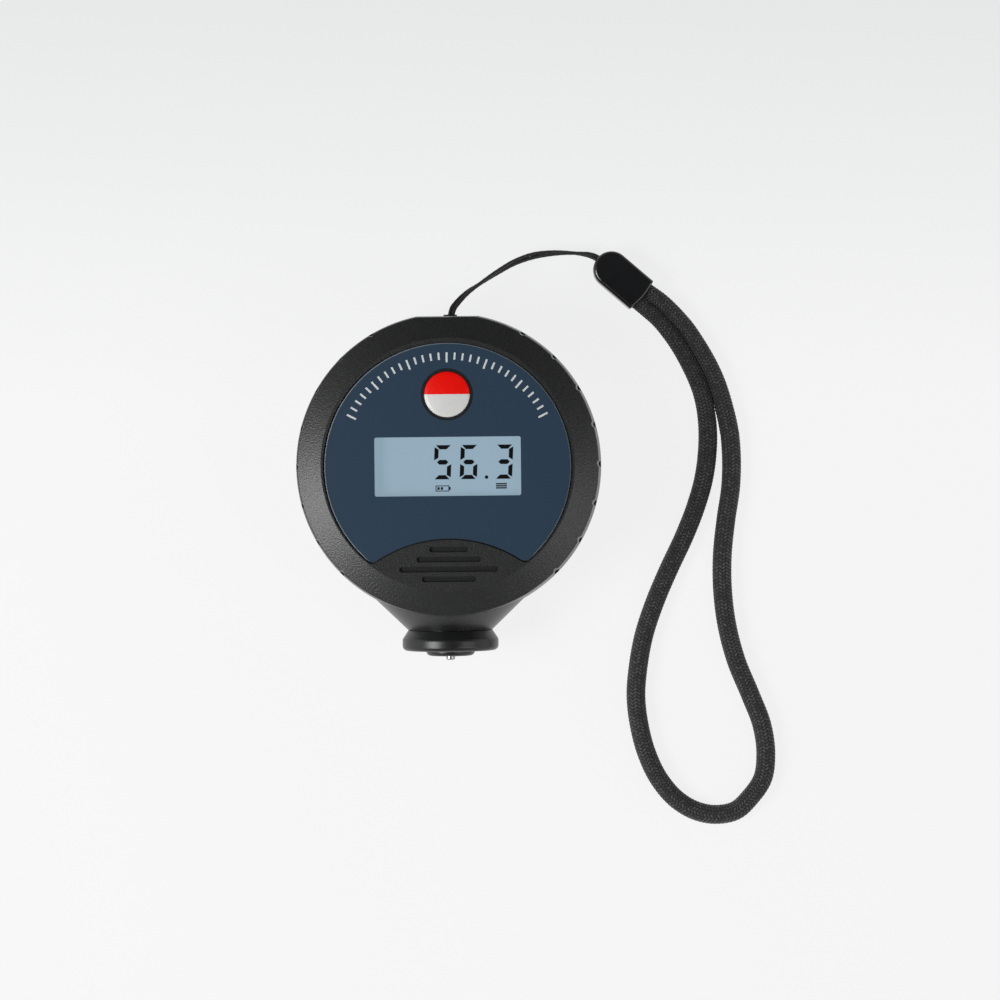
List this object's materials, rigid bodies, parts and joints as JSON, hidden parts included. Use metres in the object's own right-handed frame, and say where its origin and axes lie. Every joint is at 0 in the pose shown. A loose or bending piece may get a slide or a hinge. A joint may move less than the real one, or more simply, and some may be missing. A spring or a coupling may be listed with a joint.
{
  "type": "coating thickness gauge",
  "caption": "Round handheld coating thickness gauge with a digital display, a two-colour key, a sprung probe in a conical neck and a braided wrist strap.",
  "frame": {"origin": "where the axis of the round case meets the back face the gauge lies on", "axes": "+Z out of the display face, +Y from the probe towards the strap, +X to the right of the display"},
  "size_m": [0.1072, 0.1303, 0.0306],
  "materials": {
    "case_abs": "fine spark-eroded grain",
    "face_print": "satin printed film",
    "clear_window": "clear polished",
    "lcd_glass": "flat grey-blue",
    "white_plastic": "plain moulded",
    "strip_rubber": "matt",
    "board": "solder mask",
    "steel": "bright plated",
    "black_part": "plain moulded",
    "key_white": "glossy",
    "key_red": "glossy",
    "brass": "turned",
    "foot_black": "semi-gloss",
    "copper": "enamelled wire",
    "cell_jacket": "printed sleeve",
    "lead_pvc": "matt",
    "strap_fabric": "braided polyester",
    "ferrule_black": "satin gloss"
  },
  "bodies": {
    "case": {"front_shell": "case_abs", "rear_shell": "case_abs", "faceplate": "face_print", "display_window": "clear_window", "lcd_panel": "lcd_glass", "lcd_frame": "white_plastic", "lcd_backlight": "white_plastic", "probe_socket": "white_plastic", "zebra_strips": "strip_rubber", "circuit_board": "board", "case_screws": "steel", "board_screws": "steel", "probe_spring": "steel", "battery_springs": "steel", "battery_plates": "steel", "main_chip": "black_part", "tact_switch": "black_part", "probe_barrel": "brass", "foot_ring": "foot_black", "battery_cell_1": "cell_jacket", "battery_cell_2": "cell_jacket", "probe_lead": "lead_pvc", "strap_cord": "strap_fabric", "strap_braid": "strap_fabric", "strap_ferrule": "ferrule_black"},
    "button": {"button_cap": "key_white", "button_red_half": "key_red", "tact_plunger": "black_part"},
    "probe": {"probe_sleeve": "foot_black", "probe_tip": "steel", "probe_core": "steel", "coil_bobbin": "black_part", "coil_winding": "copper", "probe_cap": "black_part"},
    "lid": {"battery_lid": "case_abs"}
  },
  "joints": [
    {"name": "button_press", "type": "slide", "parent": "case", "child": "button", "axis": [0, 0, -1], "range_m": [0, 0.0006], "stiffness_N_per_m": 900},
    {"name": "probe_plunge", "type": "slide", "parent": "case", "child": "probe", "axis": [0, 1, 0], "range_m": [0, 0.00215], "stiffness_N_per_m": 600, "springref_m": -0.001, "deforming": ["probe_spring", "probe_lead"]},
    {"name": "battery_lid_hinge", "type": "hinge", "parent": "case", "child": "lid", "pos_m": [0, -0.0082, 0], "axis": [-1, 0, 0], "range_deg": [0, 60]}
  ]
}
